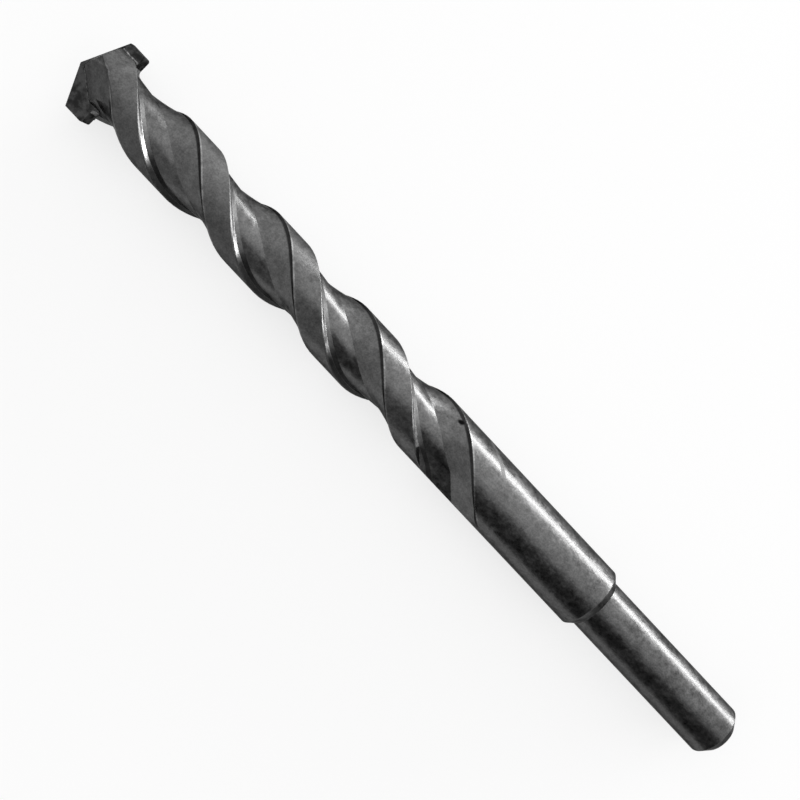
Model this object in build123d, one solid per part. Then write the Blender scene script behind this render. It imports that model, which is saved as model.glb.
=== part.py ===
"""Masonry drill bit with a carbide plate brazed across its tip and a reduced round shank.

Millimetres and degrees. The bit is modelled upright first, with z measured along its axis from
the point towards the shank. It is then laid on its side: the axis along X, the point at -X, the
shank at +X, resting on the lands and the plain cylinder. The origin is under the middle of the
bit, on the surface that it lies on.
"""
from build123d import *
import math
import os

# Lengths along the axis, measured from the point
overall_length = 158.0
shoulder_start = 124.4
shoulder_length = 1.4
flute_length = 99.3
straight_flute_length = 5.9
end_chamfer = 1.6

# Diameters
body_diameter = 12.4
shank_diameter = 10.0
shoulder_edge_radius = 0.35

# Flutes: a right-hand helix with two starts
flute_lead = 43.3
flute_starts = 2
back_corner_angle = 108.4
exit_slope_angle = 42.6
exit_length = 9.0

# Flute section: angles from the corner of the land behind it, and depths below the land
back_chamfer_span = 1.8
back_chamfer_depth = 0.2
wall_bend_span = 4.2
wall_bend_depth = 0.92
wall_span = 13.5
wall_depth = 1.42
crease_span = 62.3
crease_depth = 2.06
rise_span = 92.8
rise_depth = 1.41
step_span = 118.8
step_depth = 0.45
land_edge_span = 123.2

# Carbide plate
tip_diameter = 15.5
plate_thickness = 3.0
plate_height = 6.9
plate_angle = 96.0
point_angle = 131.0
relief_angle = 12.0
plate_corner_radius = 0.45
side_relief_angle = 1.0

# Steel head: a cone under the ground point, with a flat gash that opens each cutting face
head_start = 3.6
head_angle = 117.0
gash_start = 0.14
gash_axis_angle = 37.4
gash_face_angle = 33.1

# Braze
braze_gap = 0.1
braze_bead_radius = 0.22
braze_foot_radius = 0.9

# Derived sizes
body_radius = body_diameter / 2
shank_radius = shank_diameter / 2
tip_radius = tip_diameter / 2
shank_start = shoulder_start + shoulder_length
half_thickness = plate_thickness / 2
half_slot = half_thickness + braze_gap
slot_depth = plate_height + braze_gap
degrees_per_mm = 360 / flute_lead
roof_slope = math.tan(math.radians(90 - point_angle / 2))
relief_slope = math.tan(math.radians(relief_angle))
head_top = head_start - body_radius / math.tan(math.radians(head_angle / 2))
floor_depth = (wall_depth + crease_depth) / 2
far = 2 * (body_diameter + tip_diameter)


def polar(radius, angle):
    """Point of a cross-section at a radius and an angle about the axis."""
    return (radius * math.cos(math.radians(angle)), radius * math.sin(math.radians(angle)))


def below_land(depth, span):
    """Point of the flute section, by its depth and its angle from the land's back corner."""
    return polar(body_radius - depth, -span)


def flute_section():
    """Space that one flute cuts away: a bent wall, a sloping floor, a crease, a long rise and
    a small step up to the next land."""
    corner = below_land(0, 0)
    chamfer_foot = below_land(back_chamfer_depth, back_chamfer_span)
    wall_bend = below_land(wall_bend_depth, wall_bend_span)
    wall_foot = below_land(wall_depth, wall_span)
    floor_middle = below_land(floor_depth, (wall_span + crease_span) / 2)
    crease = below_land(crease_depth, crease_span)
    rise_middle = below_land(rise_depth, rise_span)
    step_foot = below_land(step_depth, step_span)
    land_edge = below_land(0, land_edge_span)
    outer_start = polar(tip_diameter, -land_edge_span)
    outer_middle = polar(tip_diameter, -land_edge_span / 2)
    outer_end = polar(tip_diameter, 0)
    outline = [
        Line(corner, chamfer_foot),
        Line(chamfer_foot, wall_bend),
        Line(wall_bend, wall_foot),
        ThreePointArc(wall_foot, floor_middle, crease),
        ThreePointArc(crease, rise_middle, step_foot),
        Line(step_foot, land_edge),
        Line(land_edge, outer_start),
        ThreePointArc(outer_start, outer_middle, outer_end),
        Line(outer_end, corner),
    ]
    return Rot(0, 0, back_corner_angle) * Face(Wire(outline))


def helical_flute():
    """The helix that a flute follows, cut off where the tool starts to leave the bar."""
    spare = (180 - land_edge_span) / 2 / degrees_per_mm
    helix_length = flute_length + spare - straight_flute_length
    helix = Solid.extrude_linear_with_rotation(
        Pos(0, 0, straight_flute_length) * flute_section(),
        center=(0, 0, straight_flute_length),
        normal=(0, 0, helix_length),
        angle=helix_length * degrees_per_mm,
    )
    last_turn = land_edge_span / degrees_per_mm + spare
    beyond = Pos(0, far / 2, far / 2 - last_turn) * Box(far, far, far)
    return helix - exit_frame().location * beyond


def exit_frame():
    """Plane at the end of the helix, with X out of the bar and Y the way that the tool leaves it."""
    exit_angle = back_corner_angle - land_edge_span
    exit_angle += (flute_length - straight_flute_length) * degrees_per_mm
    return Plane(Pos(0, 0, flute_length) * Rot(0, 0, exit_angle))


def flute_exit(helix):
    """The tool's straight pass out of the bar, from its last place on the helix."""
    path = math.radians(exit_slope_angle)
    tangent = exit_frame().y_dir
    pass_out = tangent * math.cos(path) + Vector(0, 0, math.sin(path))
    last_place = helix.faces().filter_by(Axis((0, 0, 0), tangent)).sort_by(SortBy.AREA)[-1]
    return extrude(last_place, amount=exit_length, dir=pass_out)


def blank():
    """Turned bar: the coned head, the body, the chamfered shoulder and the reduced shank."""
    profile = Polyline(
        (0, head_top),
        (body_radius, head_start),
        (body_radius, shoulder_start),
        (shank_radius, shank_start),
        (shank_radius, overall_length - end_chamfer),
        (shank_radius - end_chamfer, overall_length),
        (0, overall_length),
        close=True,
    )
    # the seam of the revolve is turned to the underside
    bar = Rot(0, 0, 180) * revolve(make_face(Plane.XZ * profile), axis=Axis.Z)
    rims = bar.edges().filter_by(GeomType.CIRCLE).sort_by(Axis.Z)
    head_rim, shoulder_rim = rims[:2]
    return fillet(shoulder_rim, radius=shoulder_edge_radius)


def point_roof():
    """Space above the ground roof of the point: two planes that meet in a slanted chisel edge."""
    slope = math.hypot(roof_slope, relief_slope)
    turn = math.degrees(math.atan2(relief_slope, roof_slope))
    gable = Polyline(
        (0, 0),
        (far, slope * far),
        (far, -far),
        (-far, -far),
        (-far, slope * far),
        close=True,
    )
    prism = extrude(make_face(Plane.XZ * gable), amount=far, both=True)
    return Rot(0, 0, plate_angle + turn) * prism


def gash():
    """Space in front of one cutting face, above a flat that starts on that face."""
    axis_angle = math.radians(gash_axis_angle)
    face_angle = math.radians(gash_face_angle)
    trace = Vector(math.sin(axis_angle), 0, math.cos(axis_angle))
    across = Vector(-math.cos(face_angle), -math.sin(face_angle), 0)
    start = Vector(gash_start, -half_thickness, 0)
    flat = Plane(origin=start, x_dir=trace, z_dir=trace.cross(across))
    block = extrude(flat * Rectangle(far, far), amount=far)
    return Rot(0, 0, plate_angle) * block


def both_starts(shape):
    """The shape and its copies turned about the axis, one for each start of the flutes."""
    return [Rot(0, 0, 360 / flute_starts * i) * shape for i in range(flute_starts)]


def steel_before_slot():
    """Body and shank with the ground point, the flutes and the two gashes."""
    straight = extrude(flute_section(), amount=straight_flute_length)
    helix = helical_flute()
    bar = blank() - point_roof()
    for cut in (helix, flute_exit(helix), straight, gash()):
        bar = bar - both_starts(cut)
    return bar


def plate_slot():
    """Slot milled across the head for the plate and its braze."""
    slot = Pos(0, 0, slot_depth / 2) * Box(far, 2 * half_slot, slot_depth)
    return Rot(0, 0, plate_angle) * slot


def carbide_plate():
    """Plate with a roof-shaped point, relieved sides and rounded lower corners."""
    side_tilt = math.tan(math.radians(side_relief_angle)) * plate_thickness
    half_width = math.sqrt(tip_radius ** 2 - half_thickness ** 2)
    outline = Polyline(
        (half_width, -half_thickness),
        (half_width - side_tilt, half_thickness),
        (-half_width, half_thickness),
        (side_tilt - half_width, -half_thickness),
        close=True,
    )
    plate = extrude(make_face(outline), amount=plate_height)
    lower_edges = plate.faces().sort_by(Axis.Z)[-1].edges().sort_by(SortBy.LENGTH)
    plate = fillet(lower_edges[:2], radius=plate_corner_radius)
    return Rot(0, 0, plate_angle) * plate - point_roof()


def braze_bead():
    """Bead of filler in the corner between a land and the back of the plate."""
    seat = math.sqrt(body_radius ** 2 - half_slot ** 2)
    length = plate_height - head_start
    bead = Pos(-seat, -half_slot, head_start + length / 2) * Cylinder(braze_bead_radius, length)
    return Rot(0, 0, plate_angle) * bead


def braze_foot():
    """Hollow fillet of filler in the corner between the plate's end and the flute behind it."""
    floor_place = floor_depth - body_radius
    outer_place = floor_place - braze_foot_radius
    inner_place = crease_depth - body_radius
    fillet_end = plate_height + braze_foot_radius
    bend = braze_foot_radius * (1 - math.cos(math.pi / 4))
    outline = [
        Line((inner_place, plate_height), (outer_place, plate_height)),
        ThreePointArc(
            (outer_place, plate_height),
            (floor_place - bend, plate_height + bend),
            (floor_place, fillet_end),
        ),
        Line((floor_place, fillet_end), (inner_place, fillet_end)),
        Line((inner_place, fillet_end), (inner_place, plate_height)),
    ]
    profile = make_face(Plane.XZ * Wire(outline))
    return Rot(0, 0, plate_angle) * extrude(profile, amount=half_thickness, both=True)


def lie_down(shape):
    """Lays the upright bit on its side, with its point at -X and its plate nearly flat."""
    side = Plane(origin=(-overall_length / 2, 0, body_radius), x_dir=(0, 0, 1), z_dir=(1, 0, 0))
    return side.location * shape


solid_steel = steel_before_slot()
slot = plate_slot()
steel_body = solid_steel - slot
carbide_tip = carbide_plate()
film = (solid_steel & slot) - carbide_tip
fillers = both_starts(braze_bead()) + both_starts(braze_foot())
braze_joint = film + [filler - steel_body - carbide_tip for filler in fillers]

parts = {
    "steel_body": steel_body,
    "carbide_tip": carbide_tip,
    "braze_joint": braze_joint,
}
os.makedirs("parts", exist_ok=True)
for name, shape in parts.items():
    export_step(lie_down(shape), f"parts/{name}.step")
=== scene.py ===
"""Looks of the masonry drill bit: finishes, floor, light and camera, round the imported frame.

Metres. The bit lies along X, with its point at -X, on a plain pale floor. The camera stands over
it as in the photograph, whose 800 x 800 frame shows the axis running from upper left to lower
right. All finishes are node materials in the object's own coordinates.

In the values below, a pair says where a soft edge starts and where it is complete. Four numbers
are a band, which fades in between its first two and out between its last two. A pair of levels
or tones says what an edge goes from and to.
"""
import math

import bpy
from mathutils import Matrix, Vector

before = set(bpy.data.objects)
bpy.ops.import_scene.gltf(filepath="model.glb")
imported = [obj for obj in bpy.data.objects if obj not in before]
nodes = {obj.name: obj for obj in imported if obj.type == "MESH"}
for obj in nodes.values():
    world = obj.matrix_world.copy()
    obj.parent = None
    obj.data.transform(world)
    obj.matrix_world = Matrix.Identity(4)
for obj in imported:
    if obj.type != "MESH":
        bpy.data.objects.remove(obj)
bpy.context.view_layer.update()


def radians(*degrees):
    return tuple(math.radians(angle) for angle in degrees)


# Measures of the bit, the same as in its source
axis_height = 0.0062
point_x = -0.079
straight_flute = 0.0059
flute_lead = 0.0433
back_corner = math.radians(108.4)

# Its two flutes are half a turn apart. They run straight at first and turn from helix_start
start_spacing = math.pi
helix_start = point_x + straight_flute
helix_turn = 2 * math.pi / flute_lead

# Camera, fitted to the photograph
photo_size = 800
focal_pixels = 900.0
sensor_width = 36.0
axis_drop = math.radians(46.86)
shank_recess = math.radians(2.31)
camera_distance = 0.15394
camera_aside = 0.000524
nearest_seen = 0.005
farthest_seen = 20.0
aim = Vector((-0.0017, 0.0, axis_height))

# Floor
white = (1.0, 1.0, 1.0, 1.0)
floor_size = 6.0
floor_colour = (0.93, 0.93, 0.93, 1.0)
floor_roughness = 0.9
floor_glow = 0.75

# Window
window_power = 5.4
window_width = 0.6
window_height = 0.14
window_place = Vector((0.2, 0.6, 0.06))

# Studio light: strengths, and edges by the X, Y or Z of the direction
horizon_light = 0.8
horizon_edge = (0.08, 0.0)
opening_x = (0.5, 0.7)
opening_y = (0.3, 0.1)
side_edge = (-0.38, 0.18)
side_change = (-0.2, 0.05)
side_levels = (1.25, 1.8)
shade_band = (0.31, 0.37, 0.5, 0.56)
shade_depth = 0.78
patch_x = (0.65, 0.8)
patch_y = (0.6, 0.45)
patch_depth = 0.6
point_lamp_edge = (0.2, -0.3)
point_lamp_levels = (0.008, 0.8)
shank_lamp_edge = (0.6, 0.75)
shank_lamp_levels = (0.0, 0.5)

# Noises of the steel: scale, detail and roughness, the range that is used, and its tones
noise_middle = 0.5
broad_noise = (500.0, 3.0, 0.6)
broad_range = (0.3, 0.7)
broad_tones = (0.82, 1.14)
mottle_noise = (1400.0, 3.0, 0.7)
mottle_range = (0.35, 0.65)
mottle_tones = (0.86, 1.12)
fine_noise = (3500.0, 4.0, 0.6)
fine_range = (0.3, 0.7)
fine_tones = (0.8, 1.14)
wave_noise = (1300.0, 2.0, 0.5)
wave_stretch = (0.5, 1.0, 1.0)
line_noise = (1.0, 3.0, 0.6)
line_stretch = (9000.0, 350.0, 350.0)

# Colour and roughness of the steel
steel_grey = 0.116
rim_tint = (0.3, 0.3, 0.3, 1.0)
roughness_levels = (0.34, 0.55)
broad_roughness = 0.25
mottle_roughness = 0.3
foot_roughness = 0.2

# Its zones, by radius, along X, by angle from a land's back corner, and by the normal's Y
flute_radius = (0.00605, 0.0058)
smooth_start = (-0.05, -0.01)
marks_end = (0.0235, 0.0215)
wall_start = (-0.067, -0.0615)
wall_start_levels = (0.1, 1.0)
wall_end = (0.0075, 0.0065)
wall_bend = radians(4.6, 4.0)
chamfer_foot = radians(1.2, 2.2)
chamfer_levels = (0.4, 1.0)
foot_band = radians(4.3, 5.0, 13.0, 15.0)
hollow_start = (-0.0702, -0.0688)
hollow_band = radians(116.0, 119.5, 122.6, 123.6)
land_edge_band = radians(123.2, 123.8, 125.5, 127.5)
# Walls facing +Y get a painted highlight; walls and their feet facing -Y get painted shade
painted_highlight_wall_facing = (0.28, 0.48)
painted_shade_wall_facing = (0.4, 0.2)
painted_shade_foot_facing = (0.05, -0.2)

# The upper gash, which faces this way
gash_normal = (-0.385, -0.582, 0.716)
gash_match = (0.98, 0.995)

# How much darker or brighter the zones are
cut_head = (-0.064, -0.069)
cut_head_shade = 0.2
land_head = (-0.071, -0.076)
land_head_shade = 0.2
# Painted shade in the step recess and on walls facing -Y; painted highlight on the land's front
# edge and on walls facing +Y
hollow_shade = 0.75
painted_away_shade = 0.62
land_edge_range = (0.4, 0.6)
land_edge_levels = (0.3, 0.9)
painted_wall_highlight_gain = 3.2

# Black fleck in one run-out
fleck_place = (0.0078, 0.0045, 0.0097)
fleck_squash = (0.85, 1.3, 1.3)
fleck_reach = (0.0008, 0.0004)
fleck_shade = 0.95

# Relief of the steel
edge_radius = 0.00012
edge_samples = 8
# Colour lighter along the rounded edges
edge_lightening = (0.99, 0.9)
edge_lightening_gain = 0.8
wave_strength = 1.0
wave_height = 0.00003
grain_strength = 0.5
grain_height = 0.00002
fine_share = 0.6
line_share = 0.6

# Carbide
carbide_grey = 0.042
carbide_roughness = 0.5
carbide_broad_noise = (700.0, 3.0, 0.6)
carbide_range = (0.35, 0.65)
carbide_tones = (0.6, 1.8)
carbide_fine_noise = (4000.0, 4.0, 0.6)
carbide_bump = 0.4
carbide_bump_height = 0.00002

# Braze, brighter in the film than in the fillets behind the plate
braze_grey = 0.21
braze_metal = 0.8
braze_roughness = 0.4
braze_noise = (1500.0, 3.0, 0.6)
braze_range = (0.35, 0.65)
braze_tones = (0.2, 1.2)
braze_fillet = (-0.0725, -0.072)
braze_fillet_levels = (1.0, 0.45)
braze_bump = 0.6
braze_bump_height = 0.00005


class Nodes:
    """A node tree, written in short: nearly every call adds one node and gives its output."""

    def __init__(self, owner):
        owner.use_nodes = True
        self.tree = owner.node_tree
        self.tree.nodes.clear()

    def add(self, kind, inputs=None, **settings):
        """One node. An input takes a value, a socket, or a node for that node's first output."""
        node = self.tree.nodes.new("ShaderNode" + kind)
        for name, value in settings.items():
            setattr(node, name, value)
        for name, value in (inputs or {}).items():
            socket = node.inputs[name]
            if isinstance(value, bpy.types.Node):
                value = value.outputs[0]
            if isinstance(value, bpy.types.NodeSocket):
                self.tree.links.new(value, socket)
            else:
                socket.default_value = value
        return node

    def math(self, operation, a, b=0.0):
        return self.add("Math", {0: a, 1: b}, operation=operation).outputs[0]

    def product(self, first, *factors):
        for factor in factors:
            first = self.math("MULTIPLY", first, factor)
        return first

    def largest(self, first, *others):
        for other in others:
            first = self.math("MAXIMUM", first, other)
        return first

    def less(self, value, mask, share):
        """The value, with a share of it taken off where the mask is 1."""
        return self.product(value, self.math("SUBTRACT", 1.0, self.product(mask, share)))

    def more(self, value, mask, share=1.0):
        """The value, with a share of it added where the mask is 1."""
        return self.product(value, self.math("ADD", 1.0, self.product(mask, share)))

    def ramp(self, value, low, high, to_low=0.0, to_high=1.0):
        """Smooth step of a value from low to high."""
        inputs = {
            "Value": value,
            "From Min": low,
            "From Max": high,
            "To Min": to_low,
            "To Max": to_high,
        }
        return self.add("MapRange", inputs, interpolation_type="SMOOTHSTEP").outputs["Result"]

    def band(self, value, low, low_full, high_full, high):
        return self.product(self.ramp(value, low, low_full), self.ramp(value, high, high_full))

    def noise(self, place, scale, detail, roughness):
        inputs = {"Vector": place, "Scale": scale, "Detail": detail, "Roughness": roughness}
        return self.add("TexNoise", inputs).outputs["Fac"]

    def split(self, vector):
        return self.add("SeparateXYZ", {0: vector}).outputs

    def vector(self, operation, a, b):
        return self.add("VectorMath", {0: a, 1: b}, operation=operation).outputs["Vector"]

    def dot(self, a, b):
        return self.add("VectorMath", {0: a, 1: b}, operation="DOT_PRODUCT").outputs["Value"]

    def length(self, vector):
        return self.add("VectorMath", {0: vector}, operation="LENGTH").outputs["Value"]

    def grey(self, level, tone):
        inputs = {0: (level, level, level), "Scale": tone}
        return self.add("VectorMath", inputs, operation="SCALE").outputs["Vector"]

    def bump(self, height, strength, distance, normal=None):
        inputs = {"Height": height, "Strength": strength, "Distance": distance}
        if normal is not None:
            inputs["Normal"] = normal
        return self.add("Bump", inputs).outputs["Normal"]


def side_lamp(n, x, y):
    """Wide lamp over the +Y side, weaker towards the point, with a shade across it and a dimmer
    patch past the shank."""
    patch = n.product(n.ramp(x, *patch_x), n.ramp(y, *patch_y))
    lamp = n.less(n.ramp(y, *side_edge), n.band(x, *shade_band), shade_depth)
    lamp = n.less(lamp, patch, patch_depth)
    return n.product(lamp, n.ramp(x, *side_change, *side_levels))


def horizon(n, x, y, z):
    """Pale ring low down all round, open past the shank."""
    opening = n.product(n.ramp(x, *opening_x), n.ramp(n.math("ABSOLUTE", y), *opening_y))
    ring = n.less(n.ramp(z, *horizon_edge), opening, 1.0)
    return n.product(ring, horizon_light)


def build_world():
    """Studio round the bit, which the camera sees as plain white: a pale horizon, a wide lamp to
    one side and one past each end, and nearly dark between them."""
    world = bpy.data.worlds.new("studio")
    bpy.context.scene.world = world
    n = Nodes(world)
    x, y, z = n.split(n.add("TexCoord").outputs["Generated"])
    glow = n.largest(
        horizon(n, x, y, z),
        side_lamp(n, x, y),
        n.ramp(x, *point_lamp_edge, *point_lamp_levels),
        n.ramp(x, *shank_lamp_edge, *shank_lamp_levels),
    )
    studio = n.add("Background", {"Color": white, "Strength": glow})
    backdrop = n.add("Background", {"Color": white, "Strength": 1.0})
    seen = n.add("LightPath").outputs["Is Camera Ray"]
    n.add("OutputWorld", {"Surface": n.add("MixShader", {0: seen, 1: studio, 2: backdrop})})


def build_window():
    """Low strip of daylight on the far side, which draws the bright line along the steel."""
    data = bpy.data.lights.new("window", "AREA")
    data.shape = "RECTANGLE"
    data.size = window_width
    data.size_y = window_height
    data.energy = window_power
    lamp = bpy.data.objects.new("window", data)
    bpy.context.scene.collection.objects.link(lamp)
    lamp.location = window_place
    to_bit = aim - window_place
    lamp.rotation_euler = to_bit.to_track_quat("-Z", "Y").to_euler()


def floor_material():
    """Matt pale floor, which the camera and mirrors see as nearly white, with its shadows."""
    material = bpy.data.materials.new("floor")
    n = Nodes(material)
    shader = n.add("BsdfPrincipled", {
        "Base Color": floor_colour,
        "Roughness": floor_roughness,
        "Specular IOR Level": 0.0,
    })
    rays = n.add("LightPath").outputs
    seen = n.largest(rays["Is Camera Ray"], rays["Is Glossy Ray"], rays["Is Transmission Ray"])
    glow = n.add("Emission", {"Color": white, "Strength": 1.0})
    mix = n.add("MixShader", {0: n.product(seen, floor_glow), 1: shader, 2: glow})
    n.add("OutputMaterial", {"Surface": mix})
    return material


def build_floor():
    bpy.ops.mesh.primitive_plane_add(size=floor_size)
    floor = bpy.context.object
    floor.name = "floor"
    floor.data.materials.append(floor_material())


def build_camera():
    """Camera of the fitted view. Its axis leans along the bit, so the shank lies further off."""
    data = bpy.data.cameras.new("camera")
    data.sensor_fit = "HORIZONTAL"
    data.sensor_width = sensor_width
    data.lens = sensor_width * focal_pixels / photo_size
    data.clip_start = nearest_seen
    data.clip_end = farthest_seen
    camera = bpy.data.objects.new("camera", data)
    bpy.context.scene.collection.objects.link(camera)
    bpy.context.scene.camera = camera
    along = Vector((math.cos(shank_recess), 0, math.sin(shank_recess)))
    toward = Vector((-math.sin(shank_recess), 0, math.cos(shank_recess)))
    side = toward.cross(along)
    right = along * math.cos(axis_drop) + side * math.sin(axis_drop)
    up = side * math.cos(axis_drop) - along * math.sin(axis_drop)
    place = aim + toward * camera_distance - side * camera_aside
    turn = Matrix((right, up, toward)).transposed().to_4x4()
    camera.matrix_world = Matrix.Translation(place) @ turn


def flute_mask(n, y, z):
    """Everything inside the lands."""
    across = n.add("CombineXYZ", {1: y, 2: n.math("SUBTRACT", z, axis_height)})
    return n.ramp(n.length(across), *flute_radius)


def corner_angle(n, x, y, z):
    """Angle round the bar from a land's back corner, through the flute to the next land. It
    follows the helix, so it is the same all along an edge of the flute."""
    turn = n.math("ARCTAN2", n.product(y, -1.0), n.math("SUBTRACT", z, axis_height))
    twisted = n.largest(n.math("SUBTRACT", x, helix_start), 0.0)
    turn = n.math("SUBTRACT", turn, n.product(twisted, helix_turn))
    angle = n.math("SUBTRACT", back_corner, turn)
    return n.add("Math", {0: angle, 1: start_spacing, 2: 0.0}, operation="WRAP").outputs[0]


def wall_mask(n, x, angle):
    """Narrow wall under a land's back corner, down to its bend, with its chamfer in part."""
    return n.product(
        n.ramp(angle, *wall_bend),
        n.ramp(x, *wall_end),
        n.ramp(angle, *chamfer_foot, *chamfer_levels),
        n.ramp(x, *wall_start, *wall_start_levels),
    )


def foot_mask(n, x, angle):
    """The same wall below its bend."""
    return n.product(n.band(angle, *foot_band), n.ramp(x, *marks_end))


def fleck_mask(n, place):
    """Small black fleck in the upper run-out."""
    from_fleck = n.vector("SUBTRACT", place, fleck_place)
    return n.ramp(n.length(n.vector("MULTIPLY", from_fleck, fleck_squash)), *fleck_reach)


def shade_head(n, tone, x, normal, in_flute):
    """Near the point the flutes and the upper gash are darker, and so are the lands' ends."""
    in_gash = n.ramp(n.dot(normal, gash_normal), *gash_match)
    cut = n.largest(in_gash, in_flute)
    tone = n.less(tone, n.product(cut, n.ramp(x, *cut_head)), cut_head_shade)
    land = n.math("SUBTRACT", 1.0, cut)
    return n.less(tone, n.product(land, n.ramp(x, *land_head)), land_head_shade)


def shade_flutes(n, tone, x, angle, normal, foot, broad):
    """Painted shade in the small recess under the step up to each land and on the wall that
    faces -Y, and a painted highlight on the land's front edge and on the wall that faces +Y."""
    within = n.ramp(x, *marks_end)
    facing = n.split(normal)["Y"]
    wall = wall_mask(n, x, angle)
    # Painted shade in the small recess under the step up to each land
    painted_recess_shade = n.product(n.band(angle, *hollow_band), within, n.ramp(x, *hollow_start))
    # Painted shade on the wall and its foot where they face -Y, away from the window
    scale = n.largest(
        n.product(wall, n.ramp(facing, *painted_shade_wall_facing)),
        n.product(foot, n.ramp(facing, *painted_shade_foot_facing)),
    )
    # Painted highlight along the land's front edge, made patchy by the broad noise
    patchy = n.ramp(broad, *land_edge_range, *land_edge_levels)
    painted_land_edge_highlight = n.product(n.band(angle, *land_edge_band), within, patchy)
    # Painted highlight on the wall where it faces +Y, towards the window
    painted_wall_highlight = n.product(wall, n.ramp(facing, *painted_highlight_wall_facing))
    tone = n.less(tone, painted_recess_shade, hollow_shade)
    tone = n.less(tone, scale, painted_away_shade)
    tone = n.more(tone, painted_land_edge_highlight)
    return n.more(tone, painted_wall_highlight, painted_wall_highlight_gain)


def steel_roughness(n, in_flute, smooth, broad, mottle, foot):
    """Roughest on the lands near the point, uneven all over, and matt at the wall's foot."""
    land = n.math("SUBTRACT", 1.0, in_flute)
    rough = n.ramp(n.less(land, smooth, 1.0), 0.0, 1.0, *roughness_levels)
    for noise, share in ((broad, broad_roughness), (mottle, mottle_roughness)):
        change = n.product(n.math("SUBTRACT", noise, noise_middle), share)
        rough = n.math("ADD", rough, change)
    return n.math("ADD", rough, n.product(foot, foot_roughness))


def steel_relief(n, place, edges, smooth, fine):
    """Shallow waves, fine grain, and turning marks round the bar towards the shank."""
    waves = n.noise(n.vector("MULTIPLY", place, wave_stretch), *wave_noise)
    lines = n.noise(n.vector("MULTIPLY", place, line_stretch), *line_noise)
    marks = n.product(lines, n.product(smooth, line_share))
    grain = n.math("ADD", n.product(fine, fine_share), marks)
    soft = n.bump(waves, wave_strength, wave_height, edges)
    return n.bump(grain, grain_strength, grain_height, soft)


def steel_material():
    """Dark milled and turned steel with rounded edges, lighter in colour along them, and painted
    shade and painted highlights in its flutes.
    """
    material = bpy.data.materials.new("steel")
    n = Nodes(material)
    place = n.add("TexCoord").outputs["Object"]
    normal = n.add("NewGeometry").outputs["Normal"]
    edges = n.add("Bevel", {"Radius": edge_radius}, samples=edge_samples).outputs["Normal"]
    x, y, z = n.split(place)
    fine = n.noise(place, *fine_noise)
    broad = n.noise(place, *broad_noise)
    mottle = n.noise(place, *mottle_noise)
    smooth = n.ramp(x, *smooth_start)
    in_flute = flute_mask(n, y, z)
    angle = corner_angle(n, x, y, z)
    foot = foot_mask(n, x, angle)
    tone = n.product(
        n.ramp(broad, *broad_range, *broad_tones),
        n.ramp(mottle, *mottle_range, *mottle_tones),
        n.ramp(fine, *fine_range, *fine_tones),
    )
    tone = shade_head(n, tone, x, normal, in_flute)
    tone = shade_flutes(n, tone, x, angle, normal, foot, broad)
    tone = n.less(tone, fleck_mask(n, place), fleck_shade)
    # Colour lighter along the rounded edges
    tone = n.more(tone, n.ramp(n.dot(edges, normal), *edge_lightening), edge_lightening_gain)
    shader = n.add("BsdfPrincipled", {
        "Base Color": n.grey(steel_grey, tone),
        "Metallic": 1.0,
        "Roughness": steel_roughness(n, in_flute, smooth, broad, mottle, foot),
        "Specular Tint": rim_tint,
        "Normal": steel_relief(n, place, edges, smooth, fine),
    })
    n.add("OutputMaterial", {"Surface": shader})
    return material


def carbide_material():
    """Rough sintered carbide, nearly black."""
    material = bpy.data.materials.new("carbide")
    n = Nodes(material)
    place = n.add("TexCoord").outputs["Object"]
    fine = n.noise(place, *carbide_fine_noise)
    broad = n.noise(place, *carbide_broad_noise)
    tone = n.ramp(broad, *carbide_range, *carbide_tones)
    shader = n.add("BsdfPrincipled", {
        "Base Color": n.grey(carbide_grey, tone),
        "Metallic": 1.0,
        "Roughness": carbide_roughness,
        "Specular Tint": rim_tint,
        "Normal": n.bump(fine, carbide_bump, carbide_bump_height),
    })
    n.add("OutputMaterial", {"Surface": shader})
    return material


def braze_material():
    """Dull uneven filler metal."""
    material = bpy.data.materials.new("braze")
    n = Nodes(material)
    place = n.add("TexCoord").outputs["Object"]
    x = n.split(place)["X"]
    broad = n.noise(place, *braze_noise)
    tone = n.ramp(broad, *braze_range, *braze_tones)
    tone = n.product(tone, n.ramp(x, *braze_fillet, *braze_fillet_levels))
    shader = n.add("BsdfPrincipled", {
        "Base Color": n.grey(braze_grey, tone),
        "Metallic": braze_metal,
        "Roughness": braze_roughness,
        "Normal": n.bump(broad, braze_bump, braze_bump_height),
    })
    n.add("OutputMaterial", {"Surface": shader})
    return material


def finish_node(name, material):
    mesh = nodes[name].data
    mesh.materials.clear()
    mesh.materials.append(material)


finish_node("steel_body", steel_material())
finish_node("carbide_tip", carbide_material())
finish_node("braze_joint", braze_material())
build_floor()
build_world()
build_window()
build_camera()
bpy.context.scene.view_settings.view_transform = "Standard"
